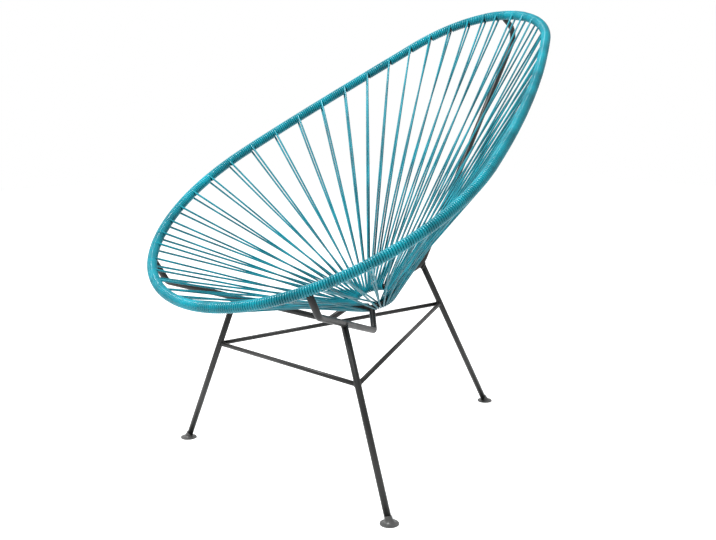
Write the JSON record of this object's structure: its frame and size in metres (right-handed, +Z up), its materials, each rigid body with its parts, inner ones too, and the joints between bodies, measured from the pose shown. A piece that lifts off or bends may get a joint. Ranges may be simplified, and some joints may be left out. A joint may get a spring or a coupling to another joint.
{
  "type": "lounge chair",
  "caption": "Outdoor lounge chair: an egg-shaped hoop laced with round cord down to a small ring, on splayed bar legs tied by thin stretchers.",
  "frame": {"origin": "on the floor, under the middle of the chair's bounding box", "axes": "+Z up, -Y is the way a sitter faces, +X is the sitter's left"},
  "size_m": [0.7369, 0.9472, 0.9242],
  "materials": {
    "frame": "satin charcoal powder coat on round steel bar",
    "cord": "smooth teal plastic cord with a soft sheen",
    "glide": "dark matte foot"
  },
  "bodies": {
    "root": {"rim_hoop": "frame", "hub_ring": "frame", "bracket_left": "frame", "bracket_right": "frame", "bracket_back": "frame", "leg_left": "frame", "leg_right": "frame", "leg_back": "frame", "stretcher_front": "frame", "stretcher_left": "frame", "stretcher_right": "frame", "foot_left": "glide", "foot_right": "glide", "foot_back": "glide", "cord_front_01": "cord", "cord_front_02": "cord", "cord_front_03": "cord", "cord_front_04": "cord", "cord_front_05": "cord", "cord_left_01": "cord", "cord_left_02": "cord", "cord_left_03": "cord", "cord_left_04": "cord", "cord_left_05": "cord", "cord_left_06": "cord", "cord_left_07": "cord", "cord_left_08": "cord", "cord_left_09": "cord", "cord_left_10": "cord", "cord_right_01": "cord", "cord_right_02": "cord", "cord_right_03": "cord", "cord_right_04": "cord", "cord_right_05": "cord", "cord_right_06": "cord", "cord_right_07": "cord", "cord_right_08": "cord", "cord_right_09": "cord", "cord_right_10": "cord"}
  },
  "joints": []
}
